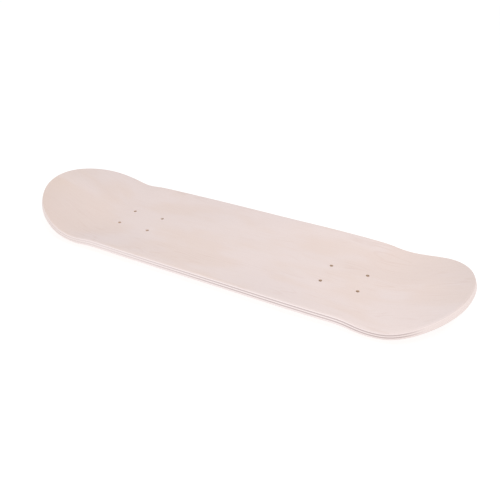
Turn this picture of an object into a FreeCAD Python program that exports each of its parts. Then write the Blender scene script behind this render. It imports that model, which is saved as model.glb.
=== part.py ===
import FreeCAD, Part
import math
import os

from FreeCAD import Base, Vector

# A seven-ply maple skateboard deck: veneers pressed together over a mould that bends up the nose
# and the tail and dishes the middle, then cut to outline, rounded at the rim and drilled.
# Lengths are in millimetres and angles in degrees. The deck lies on the flat of its underside,
# with its nose towards -X and its tail towards +X.

# Bolt holes: four for each truck, on the usual rectangle
bolt_rows_apart = 53.975
bolt_columns_apart = 41.275
inner_bolt_rows_apart = 292.1
bolt_hole_diameter = 5.0
drill_overrun = 5.0

# Lay-up, from the underside up
veneer_thickness = 1.5875
veneers = [
    "ply_1_bottom_face",
    "ply_2_lower_core",
    "ply_3_lower_crossband",
    "ply_4_middle_core",
    "ply_5_upper_crossband",
    "ply_6_upper_core",
    "ply_7_top_face",
]
rim_rounding_radius = 2.5
rounding_steps = 2

# Mould across the deck: a flat strip along the middle and a rail curving up on each side
flat_strip_half_width = 30.0
rail_curve_radius = 213.9

# Mould along the deck, at the underside. Each end is flat past the bolts, then bent, then straight.
nose_flat_past_bolts = 11.6
nose_bend_radius = 101.4
nose_kick_angle = 22.4
tail_flat_past_bolts = 17.5
tail_bend_radius = 151.0
tail_kick_angle = 22.1

# The rails flatten out through the bends: from this far before a bend to this far after it
nose_flattening_lead = 28.7
nose_flattening_run_out = 30.0
tail_flattening_lead = 24.4
tail_flattening_run_out = 23.8
nose_bend_concave_share = 0.634
nose_kick_concave_share = 0.267
tail_bend_concave_share = 0.409
tail_kick_concave_share = 0.0

# Outline, measured along and across the veneer before pressing
half_width = 105.7
nose_tip_past_bolts = 151.4
nose_half_width = 101.2
nose_end_curve_length = 102.9
nose_taper_angle = 2.0
nose_shoulder_share = 0.538
nose_tip_share = 0.522
tail_tip_past_bolts = 153.0
tail_half_width = 100.8
tail_end_curve_length = 97.6
tail_taper_angle = 4.9
tail_shoulder_share = 0.565
tail_tip_share = 0.554
rail_curve_share = 0.4

# The veneers are pressed this much larger than the outline
trim_allowance = 8.0
sewing_gap = 0.001

deck_thickness = veneer_thickness * len(veneers)
outer_bolt_row = inner_bolt_rows_apart / 2 + bolt_rows_apart
blank_half_width = half_width + trim_allowance
forwards, sideways = Vector(1, 0, 0), Vector(0, 1, 0)
rail_blank_width = blank_half_width - flat_strip_half_width
rail_sweep = 2 * math.atan(rail_blank_width / 2 / rail_curve_radius)


class End:
    """One end of the deck. Stations are distances along the veneer from midway between the trucks."""

    def __init__(self, direction, flat, radius, angle, lead, run_out, bend_share, kick_share):
        self.direction = direction
        self.radius = radius
        self.angle = math.radians(angle)
        self.bend_share = bend_share
        self.kick_share = kick_share
        self.tangent_length = radius * math.tan(self.angle / 2)
        self.bend_start = outer_bolt_row + flat
        self.bend_end = self.bend_start + self.tangent_length * 2
        self.lead = lead
        self.lead_start = self.bend_start - lead
        self.run_out = run_out
        self.run_out_end = self.bend_end + run_out

    def outline(self, tip, width, curve_length, taper, shoulder_share, tip_share):
        self.tip = outer_bolt_row + tip
        self.width = width
        self.end_curve_start = self.tip - curve_length
        self.slope = math.tan(math.radians(taper))
        self.shoulder_share = shoulder_share
        self.tip_share = tip_share
        self.blank_end = self.tip + trim_allowance

    def on_flat(self, station, height, y):
        return Vector(self.direction * station, y, height)

    def at_corner(self, height, y):
        """Where the flat and the kick would meet without a bend, for a layer at this height."""
        lean = -math.tan(self.angle / 2)
        x = self.bend_start + self.tangent_length + height * lean
        return Vector(self.direction * x, y, height)

    def on_kick(self, station, height, y):
        along = station - self.bend_start - self.tangent_length
        x = self.bend_start + self.tangent_length
        x += along * math.cos(self.angle) - height * math.sin(self.angle)
        z = along * math.sin(self.angle) + height * math.cos(self.angle)
        return Vector(self.direction * x, y, z)

    def reach(self):
        """How far the rounded tip goes out from midway between the trucks."""
        centre = self.on_kick(self.tip - rim_rounding_radius, rim_rounding_radius, 0)
        return abs(centre.x) + rim_rounding_radius


nose = End(-1, nose_flat_past_bolts, nose_bend_radius, nose_kick_angle, nose_flattening_lead,
           nose_flattening_run_out, nose_bend_concave_share, nose_kick_concave_share)
nose.outline(nose_tip_past_bolts, nose_half_width, nose_end_curve_length, nose_taper_angle,
             nose_shoulder_share, nose_tip_share)
tail = End(1, tail_flat_past_bolts, tail_bend_radius, tail_kick_angle, tail_flattening_lead,
           tail_flattening_run_out, tail_bend_concave_share, tail_kick_concave_share)
tail.outline(tail_tip_past_bolts, tail_half_width, tail_end_curve_length, tail_taper_angle,
             tail_shoulder_share, tail_tip_share)
ends = [nose, tail]


def rail_poles(height, concave_share):
    """The three control points (y, height) of one rail of a layer, from the flat strip outwards.

    A share of 1 is the full dish, an arc, and 0 is flat. The dish keeps the layers parallel.
    """
    layer_radius = rail_curve_radius - height
    inner = flat_strip_half_width
    outer = inner + layer_radius * math.sin(rail_sweep)
    outer_height = rail_curve_radius - layer_radius * math.cos(rail_sweep)
    dished = [
        (inner, height),
        (inner + layer_radius * math.tan(rail_sweep / 2), height),
        (outer, outer_height),
    ]
    flat = [(inner, height), (inner + rail_blank_width / 2, height), (blank_half_width, height)]
    return [
        (f[0] + (d[0] - f[0]) * concave_share, f[1] + (d[1] - f[1]) * concave_share)
        for f, d in zip(flat, dished)
    ]


def sections(end, height):
    """The control rows of an end's rail: how a point (y, height) of the section is placed, and its dish.

    A layer nearer the centre of the bend is shorter there, and its rows beside the bend close up with it.
    """
    closing_up = 1 - height / end.radius
    before = end.bend_start - end.lead / 2 * closing_up
    after = end.bend_end + end.run_out / 2 * closing_up
    rows = [
        (lambda y, n: end.on_flat(end.lead_start, n, y), 1),
        (lambda y, n: end.on_flat(before, n, y), 1),
        (lambda y, n: end.at_corner(n, y), end.bend_share),
    ]
    for station in (after, end.run_out_end, (end.run_out_end + end.blank_end) / 2, end.blank_end):
        rows.append((lambda y, n, s=station: end.on_kick(s, n, y), end.kick_share))
    return rows


def spline_surface(rows, stations, widths, weights, repeats=()):
    """A surface on rows of control points, quadratic along, with stations and widths as its coordinates."""
    degree_along, degree_across = 2, len(weights) - 1
    surface = Part.BSplineSurface()
    surface.buildFromPolesMultsKnots(
        rows,
        [degree_along + 1, *repeats, degree_along + 1],
        [degree_across + 1, degree_across + 1],
        stations,
        widths,
        False,
        False,
        degree_along,
        degree_across,
        [weights] * len(rows),
    )
    return surface


def rising(direction, rows, values):
    """Rows and knots in the order of rising X or Y."""
    if direction > 0:
        return rows, values
    return rows[::-1], [-value for value in values[::-1]]


def end_rail_surface(end, side, height):
    rows = []
    for place, share in sections(end, height):
        poles = [place(side * y, n) for y, n in rail_poles(height, share)]
        rows.append(poles[::side])
    stations = [end.lead_start, end.bend_start, end.bend_end, end.run_out_end, end.blank_end]
    rows, stations = rising(end.direction, rows, stations)
    widths = [side * flat_strip_half_width, side * blank_half_width][::side]
    weights = [1, math.cos(rail_sweep / 2), 1]
    return spline_surface(rows, stations, widths, weights, [1, 1, 2][::end.direction])


def middle_rail_surface(side, height):
    """The rail between the bends: a cylinder whose angle is a right angle at the edge of the flat strip."""
    centre = Vector(0, side * flat_strip_half_width, rail_curve_radius)
    circle = Part.Circle(centre, forwards, rail_curve_radius - height)
    circle.XAxis = -sideways
    return Part.Cylinder(circle)


def wrapped(point):
    """A point of the flat veneer in the coordinates of the middle rail: angle and station."""
    station, y = point
    share = (abs(y) - flat_strip_half_width) / rail_blank_width
    rise = share * math.sin(rail_sweep / 2)
    run = 1 - share + share * math.cos(rail_sweep / 2)
    return math.pi / 2 + math.copysign(2 * math.atan2(rise, run), y), station


def bend_surface(end, height):
    sides = [-flat_strip_half_width, flat_strip_half_width]
    rows = [
        [end.on_flat(end.bend_start, height, y) for y in sides],
        [end.at_corner(height, y) for y in sides],
        [end.on_kick(end.bend_end, height, y) for y in sides],
    ]
    rows, stations = rising(end.direction, rows, [end.bend_start, end.bend_end])
    return spline_surface(rows, stations, sides, [1, 1])


def plane(origin, along):
    """A plane that is level across the deck, with its first coordinate from the origin along the deck."""
    return Part.Plane(origin, along, origin + sideways * flat_strip_half_width)


def flat_surface(height):
    return plane(tail.on_flat(0, height, 0), tail.on_flat(tail.bend_start, height, 0))


def kick_surface(end, height):
    return plane(end.on_kick(0, height, 0), end.on_kick(end.direction * end.tip, height, 0))


def bezier(points):
    curve = Part.Geom2d.BezierCurve2d()
    curve.setPoles([Base.Vector2d(*point) for point in points])
    return curve


def poles(curve):
    return [(pole.x, pole.y) for pole in curve.getPoles()]


def split(curve, coordinate, value):
    """The two parts of a curve on either side of where its coordinate has the value."""
    low, high = 0.0, 1.0
    starts_below = getattr(curve.value(low), coordinate) < value
    while True:
        middle = (low + high) / 2
        if middle in (low, high):
            break
        if (getattr(curve.value(middle), coordinate) < value) == starts_below:
            low = middle
        else:
            high = middle
    first, second = curve.copy(), curve.copy()
    first.segment(0.0, middle)
    second.segment(middle, 1.0)
    return first, second


def quarter_outline(end, side, inset):
    """One quarter of the outline on the flat veneer, from the middle to the tip, in four parts.

    They lie on the middle rail, on the end rail up to the end curve, on the end rail, and on the kick.
    """
    start, slope = end.end_curve_start, end.slope
    width, middle, tip = end.width - inset, half_width - inset, end.tip - inset
    straight = start * rail_curve_share
    shoulder = (tip - start) * end.shoulder_share
    rail = [
        (0, middle),
        (straight, middle),
        (start - straight, width + slope * straight),
        (start, width),
    ]
    curve = [
        (start, width),
        (start + shoulder, width - slope * shoulder),
        (tip, width * end.tip_share),
        (tip, 0),
    ]
    rail, curve = (
        bezier([(end.direction * x, side * y) for x, y in points]) for points in (rail, curve)
    )
    on_middle, on_end = split(rail, "x", end.direction * end.lead_start)
    corner, on_tip = split(curve, "y", side * flat_strip_half_width)
    return on_middle, on_end, corner, on_tip


def backwards(curve):
    return bezier(poles(curve)[::-1])


def lines(*points):
    return [
        Part.Geom2d.Line2dSegment(Base.Vector2d(*start), Base.Vector2d(*stop))
        for start, stop in zip(points[:-1], points[1:])
    ]


def face(surface, curves):
    """The part of a surface inside a loop of curves, which are given in order in its own coordinates."""
    return Part.Face(surface, Part.Wire([curve.toShape(surface) for curve in curves]))


def end_rail(end, side, quarter, height):
    on_middle, on_end, corner, on_tip = quarter
    stations = [end.bend_end, end.bend_start, end.lead_start]
    inner = [(end.direction * station, side * flat_strip_half_width) for station in stations]
    back = lines(poles(corner)[-1], *inner, poles(on_end)[0])
    return face(end_rail_surface(end, side, height), [on_end, corner, *back])


def middle_rail(side, quarters, height):
    to_nose, to_tail = (bezier(map(wrapped, poles(quarters[end, side][0]))) for end in ends)
    inner = [
        wrapped((end.direction * end.lead_start, side * flat_strip_half_width))
        for end in (tail, nose)
    ]
    back = lines(poles(to_tail)[-1], *inner, poles(to_nose)[-1])
    return face(middle_rail_surface(side, height), [backwards(to_nose), to_tail, *back])


def kick(end, quarters, height):
    near, far = (quarters[end, side][-1] for side in (-1, 1))
    foot = [(end.direction * end.bend_end, side * flat_strip_half_width) for side in (1, -1)]
    back = lines(poles(far)[0], *foot, poles(near)[0])
    return face(kick_surface(end, height), [near, backwards(far), *back])


def bend(end, height):
    start, stop = (end.direction * station for station in (end.bend_start, end.bend_end))
    near, far = -flat_strip_half_width, flat_strip_half_width
    loop = lines((start, near), (stop, near), (stop, far), (start, far), (start, near))
    return face(bend_surface(end, height), loop)


def flat(height):
    stations = [-nose.bend_start, -nose.lead_start, tail.lead_start, tail.bend_start]
    near = [(x, -flat_strip_half_width) for x in stations]
    far = [(x, flat_strip_half_width) for x in stations[::-1]]
    return face(flat_surface(height), lines(*near, *far, near[0]))


def rim(quarters, height):
    """The edge of a layer all round, from the tip of the nose along the near side."""
    edges = []
    for end, side in ((nose, -1), (tail, -1), (tail, 1), (nose, 1)):
        on_middle, *rest = quarters[end, side]
        quarter = [bezier(map(wrapped, poles(on_middle))), *rest]
        surfaces = [
            middle_rail_surface(side, height),
            end_rail_surface(end, side, height),
            end_rail_surface(end, side, height),
            kick_surface(end, height),
        ]
        pairs = list(zip(quarter, surfaces))
        if end.direction * side > 0:
            pairs = [(backwards(curve), surface) for curve, surface in pairs[::-1]]
        edges += [curve.toShape(surface) for curve, surface in pairs]
    return Part.Wire(edges)


def layer(height):
    """The surface between two veneers, or an outer face, cut to the outline: its faces and its rim."""
    inset = rounding(height)
    quarters = {(end, side): quarter_outline(end, side, inset) for end in ends for side in (-1, 1)}
    faces = [flat(height)]
    for side in (-1, 1):
        faces.append(middle_rail(side, quarters, height))
    for end in ends:
        faces += [bend(end, height), kick(end, quarters, height)]
        faces += [end_rail(end, side, quarters[end, side], height) for side in (-1, 1)]
    return faces, rim(quarters, height)


def rounding(height):
    """How far the rim stands in at this height, by the rounding of the two faces' edges."""
    depth = min(height, deck_thickness - height)
    if depth >= rim_rounding_radius:
        return 0
    return rim_rounding_radius - math.sqrt(rim_rounding_radius ** 2 - (rim_rounding_radius - depth) ** 2)


def rim_heights(low, high):
    """Heights of the rim's sections on one veneer: its two faces, and steps of the rounding between."""
    heights = {low, high}
    for step in range(1, rounding_steps + 1):
        depth = rim_rounding_radius * (1 - math.cos(math.pi / 2 * step / rounding_steps))
        heights.update(h for h in (depth, deck_thickness - depth) if low < h < high)
    return sorted(heights)


def veneer(index):
    low, high = veneer_thickness * index, veneer_thickness * (index + 1)
    bottom, bottom_rim = layer(low)
    top, top_rim = layer(high)
    between = [layer(height)[1] for height in rim_heights(low, high)[1:-1]]
    wall = Part.makeLoft([bottom_rim, *between, top_rim], False, not between)
    shell = Part.Compound(bottom + top + wall.Faces)
    shell.sewShape(sewing_gap)
    return Part.Solid(shell.Shells[0])


def bolt_holes():
    depth = deck_thickness + drill_overrun * 2
    holes = []
    for truck in (-1, 1):
        for row in (inner_bolt_rows_apart / 2, outer_bolt_row):
            for side in (-1, 1):
                foot = Vector(truck * row, side * bolt_columns_apart / 2, -drill_overrun)
                holes.append(Part.makeCylinder(bolt_hole_diameter / 2, depth, foot))
    return Part.Compound(holes)


def build():
    os.makedirs("parts", exist_ok=True)
    holes = bolt_holes()
    to_middle = Vector((nose.reach() - tail.reach()) / 2, 0, 0)
    for index, name in enumerate(veneers):
        ply = veneer(index).cut(holes)
        ply.translate(to_middle)
        ply.exportStep(f"parts/{name}.step")
        print(name, f"{ply.Volume:.0f} mm3")


build()
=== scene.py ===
import math

import bpy
from mathutils import Matrix, Vector
from mathutils.bvhtree import BVHTree


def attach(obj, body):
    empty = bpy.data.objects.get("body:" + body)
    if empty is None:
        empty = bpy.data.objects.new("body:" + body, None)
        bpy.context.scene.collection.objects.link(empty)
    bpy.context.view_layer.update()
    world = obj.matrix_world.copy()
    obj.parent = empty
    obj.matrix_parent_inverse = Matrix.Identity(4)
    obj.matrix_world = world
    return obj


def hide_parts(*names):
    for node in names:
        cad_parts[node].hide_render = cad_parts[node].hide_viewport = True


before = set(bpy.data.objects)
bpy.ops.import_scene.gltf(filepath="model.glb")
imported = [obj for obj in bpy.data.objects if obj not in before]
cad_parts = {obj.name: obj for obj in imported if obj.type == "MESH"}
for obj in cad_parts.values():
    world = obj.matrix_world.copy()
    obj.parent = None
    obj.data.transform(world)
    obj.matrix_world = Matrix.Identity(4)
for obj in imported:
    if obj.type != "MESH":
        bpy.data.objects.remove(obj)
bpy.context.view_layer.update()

# A bare seven-ply maple deck. Lengths are in metres. Each veneer is a smoothed copy of its CAD node,
# with its own grain. The deck lies on the flat of its underside, nose towards -X.

MM = 0.001
PLY = 1.5875 * MM
MIDWAY_BETWEEN_TRUCKS = -1.42592 * MM
BOLT_ROWS_APART, BOLT_COLUMNS_APART = 53.975 * MM, 41.275 * MM
INNER_BOLT_ROW = 146.05 * MM
OUTER_BOLT_ROW = INNER_BOLT_ROW + BOLT_ROWS_APART
BOLT_HOLE_RADIUS = 2.5 * MM

# The mould along the deck: where each bend starts, its radius on the top face and its angle
NOSE_BEND = (211.6 * MM, 90.3 * MM, math.radians(22.4))
TAIL_BEND = (217.5 * MM, 139.9 * MM, math.radians(22.1))

VENEERS = [
    ("ply_1_bottom_face", "bottom_face_veneer", "face_maple"),
    ("ply_2_lower_core", "lower_core_veneer", "core_maple"),
    ("ply_3_lower_crossband", "lower_crossband_veneer", "crossband_maple"),
    ("ply_4_middle_core", "middle_core_veneer", "core_maple"),
    ("ply_5_upper_crossband", "upper_crossband_veneer", "crossband_maple"),
    ("ply_6_upper_core", "upper_core_veneer", "core_maple"),
    ("ply_7_top_face", "top_face_veneer", "face_maple"),
]
BOTTOM, TOP = 0, len(VENEERS) - 1


def srgb(red, green, blue):
    """A colour as seen on screen, 0 to 255, as the linear values that a shader takes."""
    def linear(value):
        value = value / 255
        return value / 12.92 if value <= 0.04045 else ((value + 0.055) / 1.055) ** 2.4
    return (linear(red), linear(green), linear(blue), 1.0)


class Shade:
    """A socket in a tree of nodes, on which Python's operators do the maths."""

    def __init__(self, tree, socket=None):
        self.tree = tree
        self.socket = socket

    def node(self, kind, inputs=None, output=0, **settings):
        """Adds a node: its settings first, then the values or links of its sockets."""
        made = self.tree.nodes.new(kind)
        for name, value in settings.items():
            setattr(made, name, value)
        for name, value in (inputs or {}).items():
            socket = made.inputs[name]
            if isinstance(value, Shade):
                self.tree.links.new(value.socket, socket)
            else:
                socket.default_value = value
        return Shade(self.tree, made.outputs[output] if made.outputs else None)

    def maths(self, operation, *terms):
        return self.node("ShaderNodeMath", dict(enumerate(terms)), operation=operation)

    def __add__(self, other):
        return self.maths("ADD", self, other)

    def __radd__(self, other):
        return self.maths("ADD", other, self)

    def __sub__(self, other):
        return self.maths("SUBTRACT", self, other)

    def __rsub__(self, other):
        return self.maths("SUBTRACT", other, self)

    def __mul__(self, other):
        return self.maths("MULTIPLY", self, other)

    def __rmul__(self, other):
        return self.maths("MULTIPLY", other, self)

    def __abs__(self):
        return self.maths("ABSOLUTE", self)

    def smoothly(self, low, high):
        """Goes smoothly from 0 at low to 1 at high, where high may also be the lower number."""
        ends = {"From Min": low, "From Max": high}
        if low > high:
            ends = {"From Min": high, "From Max": low, "To Min": 1.0, "To Max": 0.0}
        return self.node("ShaderNodeMapRange", {"Value": self, **ends}, interpolation_type="SMOOTHSTEP")

    def mix(self, first, second, **settings):
        """The first colour where this is 0, and the second where it is 1."""
        inputs = {"Factor": self, 6: first, 7: second}
        return self.node("ShaderNodeMix", inputs, output=2, data_type="RGBA", **settings)

    def tint(self, tone, by):
        """A colour multiplied by another, as far as this goes."""
        return self.mix(tone, by, blend_type="MULTIPLY")


def new_material(name):
    material = bpy.data.materials.new(name)
    material.use_nodes = True
    tree = material.node_tree
    tree.nodes.clear()
    return material, Shade(tree)


# Each feature of the grain: its size along the grain, across it and through the veneer, then the
# shift of its seed, and the detail, roughness and distortion of its noise
GRAIN = {
    "patches": ((105 * MM, 48 * MM, 60 * MM), 0, 2.0, 0.55, 0.15),
    "shading": ((240 * MM, 90 * MM, 60 * MM), 7, 1.0, 0.5, 0.0),
    "ring_wander": ((160 * MM, 30 * MM, 60 * MM), 19, 2.0, 0.5, 0.0),
    "ring_figure": ((60 * MM, 26 * MM, 40 * MM), 31, 2.0, 0.5, 0.0),
    "streaks": ((38 * MM, 0.9 * MM, 0.9 * MM), 3, 3.0, 0.6, 0.0),
    "flecks": ((2.6 * MM, 0.32 * MM, 0.4 * MM), 5, 1.0, 0.5, 0.0),
    "mineral_lines": ((150 * MM, 3.2 * MM, 4 * MM), 11, 2.0, 0.5, 0.0),
    "edge_streaks": ((22 * MM, 0.5 * MM, 0.22 * MM), 13, 3.0, 0.6, 0.0),
    "pores": ((6 * MM, 0.22 * MM, 0.22 * MM), 17, 2.0, 0.5, 0.0),
    "glue_breaks": ((3 * MM, 3 * MM, 3 * MM), 23, 2.0, 0.5, 0.0),
}
BUMP_HEIGHT = 0.06 * MM

# Half the spacing of the growth rings, and how many such halves their noise moves them by
HALF_RING = 5.2 * MM
RING_WANDER = 21.0

# From each veneer to the next one up, the seed grows by this
SEED_STEP = 5.7

# The places in a ply run from its number to the next less twice this, so no joint is in two plies
PLY_MARGIN = 0.0001

LONG_GRAIN = {
    "light": srgb(236.7, 221, 217),
    "warm": srgb(235, 217, 210),
    "edge": srgb(251, 239, 237),
    "end_grain": srgb(250, 237, 234),
}
CROSS_GRAIN = {
    "light": srgb(233, 218, 211),
    "warm": srgb(233, 217, 207),
    "edge": srgb(250, 238, 236),
    "end_grain": srgb(206, 189, 188),
}

# For each slot: whether its grain runs across the deck, its first seed and its colours
FINISHES = {
    "face_maple": (False, 21.1, LONG_GRAIN),
    "core_maple": (False, 3.1, LONG_GRAIN),
    "crossband_maple": (True, 3.1, CROSS_GRAIN),
}


def parts_of(nodes, vector):
    """The three parts of a vector."""
    return [nodes.node("ShaderNodeSeparateXYZ", {0: vector}, output=axis) for axis in range(3)]


def grain_noise(nodes, axes, seed, feature):
    """The noise of a feature, drawn out on axes along the grain, across it and through the veneer."""
    sizes, shift, detail, roughness, distortion = GRAIN[feature]
    along, across, through = [axis * (1 / size) for axis, size in zip(axes, sizes)]
    point = nodes.node("ShaderNodeCombineXYZ", {0: along, 1: across + (seed + shift), 2: through})
    inputs = {
        "Vector": point,
        "Scale": 1.0,
        "Detail": detail,
        "Roughness": roughness,
        "Distortion": distortion,
    }
    return nodes.node("ShaderNodeTexNoise", inputs)


def bolt_hole_distance(nodes, station, across):
    """How far a point is from the middle of the nearest bolt hole."""
    reach = abs(station)
    row = nodes.maths("MINIMUM", abs(reach - INNER_BOLT_ROW), abs(reach - OUTER_BOLT_ROW))
    column = abs(across) - BOLT_COLUMNS_APART / 2
    return nodes.maths("SQRT", row * row + column * column)


def face_grain(nodes, grain, place, over, tones):
    """A veneer's face: its colour, then its patches, rings, streaks and flecks for the gloss and bump."""
    station, across, _ = place

    # Warm patches, with more of them toward the tips, on the tail's far side and the nose's near one
    toward_tips = abs(station).smoothly(140 * MM, 330 * MM)
    warm_side = station.smoothly(-200 * MM, -290 * MM) * across.smoothly(-35 * MM, -85 * MM)
    patches = grain("patches") + toward_tips * 0.11 + station * across * 6.0 + warm_side * 0.15
    patches = patches.smoothly(0.40, 0.64)
    tone = patches.mix(tones["light"], tones["warm"])
    tone = grain("shading").smoothly(0.4, 0.7).tint(tone, (0.972, 0.976, 0.984, 1.0))

    # Growth rings, which wander, come and go, and are fainter at the nose
    phase = (over * (1 / HALF_RING) + grain("ring_wander") * RING_WANDER) * math.pi
    rings = nodes.maths("SINE", phase).smoothly(0.1, 1.0) * grain("ring_figure").smoothly(0.5, 0.7)
    rings = rings * (station.smoothly(-330 * MM, -190 * MM) * 0.7 + 0.3)
    tone = (rings * 0.35).tint(tone, srgb(244, 238, 234))

    streaks = grain("streaks")
    flecks = grain("flecks").smoothly(0.62, 0.78)
    mineral_lines = grain("mineral_lines").smoothly(0.73, 0.88)
    tone = (streaks.smoothly(0.45, 0.8) * 0.25).tint(tone, srgb(243, 236, 232))
    tone = (flecks * 0.35).tint(tone, srgb(236, 224, 214))
    tone = (mineral_lines * 0.3).tint(tone, srgb(228, 214, 206))

    nose_tip = station.smoothly(-285 * MM, -345 * MM)
    painted_shade_at_tail_tip = station.smoothly(270 * MM, 350 * MM)
    tone = nose_tip.tint(tone, srgb(254, 252, 249))
    tone = warm_side.tint(tone, srgb(253, 251.5, 250))
    # Painted shade: the face is darker toward the tail's tip, where the lamp is near.
    tone = painted_shade_at_tail_tip.tint(tone, srgb(248, 249, 250))
    return tone, patches, rings, streaks, flecks


def cut_edge(nodes, grain, place, seed, endways, tones):
    """A veneer's cut edge: its colour and its streaks. Where it is endways it shows pored end grain."""
    station, across, through = place
    streaks = grain("edge_streaks")
    tone = (streaks.smoothly(0.35, 0.75) * 0.6).tint(tones["edge"], srgb(246, 241, 240))
    tone = endways.mix(tone, tones["end_grain"])
    # Painted shade: the edge is darker toward the tail and, a little, toward the nose, against the lamps'
    # light there.
    tail = station.smoothly(190 * MM, 320 * MM)
    nose = station.smoothly(-150 * MM, -280 * MM)
    tone = tail.tint(tone, srgb(248, 245, 243))
    tone = nose.tint(tone, srgb(250, 248, 246))
    pores = grain("pores").smoothly(0.55, 0.75) * endways
    tone = (pores * 0.35).tint(tone, srgb(214, 200, 196))

    # A glue line at each joint, which is stronger in some places than in others
    above_joint = nodes.maths("FRACT", through + PLY_MARGIN)
    from_joint = nodes.maths("MINIMUM", above_joint, 1 - above_joint) * PLY
    strength = grain_noise(nodes, (station, across, through * PLY), seed, "glue_breaks").smoothly(0.2, 0.8)
    glue = from_joint.smoothly(0.09 * MM, 0.03 * MM) * (strength * 0.5 + 0.3)
    tone = glue.tint(tone, srgb(198, 182, 178))
    return tone, streaks


def bolt_hole_marks(nodes, place, cut, tone):
    """The colour with brown walls in the holes, partly scorch from the drill and partly painted shade,
    paler at the nose, and a slightly darker lip round them.
    """
    station, across, _ = place
    hole = bolt_hole_distance(nodes, station, across)
    lip = hole.smoothly(BOLT_HOLE_RADIUS + 0.45 * MM, BOLT_HOLE_RADIUS + 0.05 * MM) * (1 - cut)
    tone = (lip * 0.12).tint(tone, srgb(206, 186, 174))
    # The walls' brown: partly scorch from the drill, partly painted shade in the holes; paler toward the
    # nose.
    wall = hole.smoothly(BOLT_HOLE_RADIUS + 0.6 * MM, BOLT_HOLE_RADIUS + 0.4 * MM) * cut
    wall = wall * (station.smoothly(-100 * MM, 100 * MM) * 0.2 + 0.6)
    return wall.tint(tone, srgb(222, 207, 179))


def maple(name, cross_grain, seed, tones):
    """Maple veneer, with the colours of its face, its warm patches, its cut edge and its end grain."""
    material, nodes = new_material(name)
    on_veneer = nodes.node("ShaderNodeAttribute", attribute_name="place_on_veneer", output="Vector")
    place = parts_of(nodes, on_veneer)
    station, across, through = place
    along, over = (across, station) if cross_grain else (station, across)
    depth = through * PLY

    def grain(feature):
        return grain_noise(nodes, (along, over, depth), seed, feature)

    # The cut edge is where the surface is steep. Round the tail it starts lower on the rounding, as painted
    # shade: the rounding there keeps the face's darker colour, so it shows no bright rim.
    # The crossbands' end grain is fainter toward the nose: painted shade that darkens it toward the tail.
    normal_x, normal_y, normal_z = parts_of(nodes, nodes.node("ShaderNodeTexCoord", output="Normal"))
    cut = (abs(normal_z) + station.smoothly(190 * MM, 300 * MM) * 0.2).smoothly(0.86, 0.62)
    if cross_grain:
        endways = abs(normal_y).smoothly(0.8, 0.97) * (station.smoothly(-230 * MM, 90 * MM) * 0.65 + 0.35)
    else:
        endways = abs(normal_x).smoothly(0.35, 0.9)

    tone, patches, rings, streaks, flecks = face_grain(nodes, grain, place, over, tones)
    edge_tone, edge_streaks = cut_edge(nodes, grain, place, seed, endways, tones)
    tone = bolt_hole_marks(nodes, place, cut, cut.mix(tone, edge_tone))

    rough = 0.56 + streaks * 0.10 + cut * 0.12 - patches * 0.03
    height = streaks * 0.35 + flecks * -0.5 + rings * 0.2 + cut * edge_streaks * 0.8
    bump = nodes.node("ShaderNodeBump", {"Height": height, "Strength": 0.35, "Distance": BUMP_HEIGHT})
    surface = nodes.node(
        "ShaderNodeBsdfPrincipled",
        {"Base Color": tone, "Roughness": rough, "Normal": bump, "Specular IOR Level": 0.35},
    )
    nodes.node("ShaderNodeOutputMaterial", {0: surface})
    return material


def nothing_selected():
    bpy.ops.object.select_all(action="DESELECT")


def station_of(x):
    """How far along the bent veneer a point is from midway between the trucks."""
    x -= MIDWAY_BETWEEN_TRUCKS
    start, radius, angle = NOSE_BEND if x < 0 else TAIL_BEND
    reach = abs(x)
    if reach > start:
        turn = min(math.asin(min((reach - start) / radius, 1.0)), angle)
        past = reach - start - radius * math.sin(turn)
        reach = start + radius * turn + past / math.cos(angle)
    return math.copysign(reach, x)


def lay_out(piece, index):
    """Gives each vertex its place on the flat veneer, so that the grain follows the pressed shape."""
    nearly_level = 0.8
    mesh = piece.data
    upper = [face for face in mesh.polygons if face.normal.z > nearly_level]
    lower = [face for face in mesh.polygons if face.normal.z < -nearly_level]
    on_upper = {corner for face in upper for corner in face.vertices}
    points = [corner.co for corner in mesh.vertices]

    # Measured from the lower face, or the upper one in the bottom veneer, whose lower rim is rounded
    measured_from = upper if index == BOTTOM else lower
    sheet = BVHTree.FromPolygons(points, [tuple(face.vertices) for face in measured_from])
    place = mesh.attributes.new("place_on_veneer", "FLOAT_VECTOR", "POINT")
    for number, point in enumerate(points):
        distance = sheet.find_nearest(point)[3]
        share = min(distance / PLY, 1.0)
        through = 1 - share if index == BOTTOM else share
        if number in on_upper and index != TOP:
            through = 1.0
        ply_place = index + through * (1 - 2 * PLY_MARGIN)
        place.data[number].vector = (station_of(point.x), point.y, ply_place)


def press(index, node, name, material):
    """A veneer: a copy of its CAD node, merged, and smoothed except across its sharp edges."""
    merge_distance = 0.002 * MM
    sharp_angle = math.radians(40)
    nothing_selected()
    piece = bpy.data.objects.new(name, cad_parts[node].data.copy())
    bpy.context.collection.objects.link(piece)
    piece.data.name = name
    piece.select_set(True)
    bpy.context.view_layer.objects.active = piece
    bpy.ops.object.mode_set(mode="EDIT")
    bpy.ops.mesh.select_all(action="SELECT")
    bpy.ops.mesh.customdata_custom_splitnormals_clear()
    bpy.ops.mesh.remove_doubles(threshold=merge_distance)
    bpy.ops.object.mode_set(mode="OBJECT")
    bpy.ops.object.shade_smooth_by_angle(angle=sharp_angle)
    lay_out(piece, index)
    piece.data.materials.clear()
    piece.data.materials.append(material)
    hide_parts(node)
    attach(piece, "root")


for index, (node, name, slot) in enumerate(VENEERS):
    cross_grain, first_seed, tones = FINISHES[slot]
    finish = maple(name + "_maple", cross_grain, first_seed + SEED_STEP * index, tones)
    press(index, node, name, finish)


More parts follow.
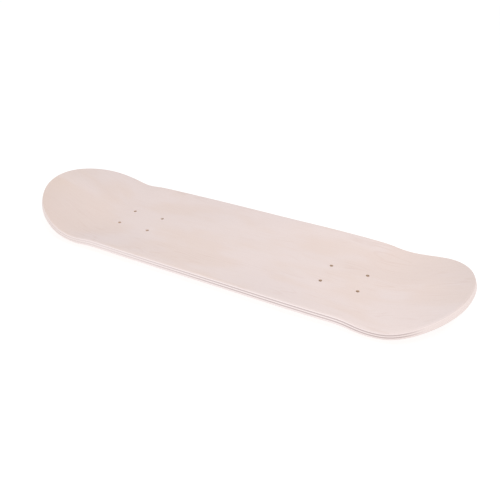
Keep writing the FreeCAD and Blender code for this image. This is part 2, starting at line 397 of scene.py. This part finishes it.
def studio_floor(shadow_share, seen_glow):
    """A plain white floor, clear from below, that shows white to the camera and keeps the shadow."""
    nothing_selected()
    bpy.ops.mesh.primitive_plane_add(size=16.0, location=(0, 0, 0))
    floor = bpy.context.active_object
    floor.name = "studio_floor"
    material, nodes = new_material("studio_light_table")
    seen = nodes.node("ShaderNodeLightPath", output="Is Camera Ray")
    share = seen.mix((0.0, 0.0, 0.0, 1.0), (shadow_share, shadow_share, shadow_share, 1.0))
    sheet = nodes.node("ShaderNodeBsdfDiffuse", {"Color": share})
    glow = nodes.node("ShaderNodeEmission", {"Color": (1, 1, 1, 1), "Strength": 1 - seen * (1 - seen_glow)})
    paper = nodes.node("ShaderNodeAddShader", {0: sheet, 1: glow})
    clear = nodes.node("ShaderNodeBsdfTransparent")
    below = nodes.node("ShaderNodeNewGeometry", output="Backfacing")
    both = nodes.node("ShaderNodeMixShader", {0: below, 1: paper, 2: clear})
    nodes.node("ShaderNodeOutputMaterial", {0: both})
    material.cycles.emission_sampling = "NONE"
    floor.data.materials.append(material)


def white_surroundings(strength):
    """An even light all round, which the camera and reflections see as white."""
    world = bpy.data.worlds.new("white_studio")
    bpy.context.scene.world = world
    world.use_nodes = True
    world.node_tree.nodes.clear()
    nodes = Shade(world.node_tree)
    seen = nodes.node("ShaderNodeLightPath", output="Is Camera Ray")
    glossy = nodes.node("ShaderNodeLightPath", output="Is Glossy Ray")
    transmitted = nodes.node("ShaderNodeLightPath", output="Is Transmission Ray")
    shown = nodes.maths("MAXIMUM", seen, nodes.maths("MAXIMUM", glossy, transmitted))
    level = shown * (1 - strength) + strength
    light = nodes.node("ShaderNodeBackground", {"Color": (1, 1, 1, 1), "Strength": level})
    nodes.node("ShaderNodeOutputWorld", {0: light})


def soft_lamp(name, place, target, size, power):
    lamp = bpy.data.lights.new(name, "AREA")
    lamp.shape = "DISK"
    lamp.size = size
    lamp.energy = power
    holder = bpy.data.objects.new(name, lamp)
    bpy.context.collection.objects.link(holder)
    holder.location = place
    holder.visible_camera = False
    holder.rotation_euler = (Vector(target) - Vector(place)).to_track_quat("-Z", "Y").to_euler()


studio_floor(shadow_share=0.5, seen_glow=0.62)
white_surroundings(strength=0.8)
soft_lamp("overhead_softbox", (0.52, -0.36, 1.04), (0, 0, 0), size=0.6, power=3.0)
soft_lamp("low_front_fill", (-0.42, -1.25, 0.16), (0, 0, 0.02), size=0.5, power=0.65)


def photographers_camera():
    """The camera at the photograph's place: fitted to the outline and the bolt holes."""
    azimuth, elevation, roll = math.radians(28.12), math.radians(32.50), math.radians(-0.25)
    target, distance = Vector((13.820, 18.773, 0)) * MM, 941.98 * MM
    focal_pixels, photo_width = 620.06, 500
    back = Vector((
        math.sin(azimuth) * math.cos(elevation),
        -math.cos(azimuth) * math.cos(elevation),
        math.sin(elevation),
    ))
    level = Vector((math.cos(azimuth), math.sin(azimuth), 0))
    upright = back.cross(level)
    right = level * math.cos(roll) + upright * math.sin(roll)
    up = upright * math.cos(roll) - level * math.sin(roll)
    lens = bpy.data.cameras.new("camera")
    lens.sensor_width = 36
    lens.lens = focal_pixels / photo_width * lens.sensor_width
    lens.clip_start, lens.clip_end = 0.01, 100
    camera = bpy.data.objects.new("camera", lens)
    bpy.context.collection.objects.link(camera)
    turn = Matrix((right, up, back)).transposed().to_4x4()
    camera.matrix_world = Matrix.Translation(target + back * distance) @ turn
    bpy.context.scene.camera = camera


photographers_camera()
bpy.context.scene.view_settings.view_transform = "Standard"
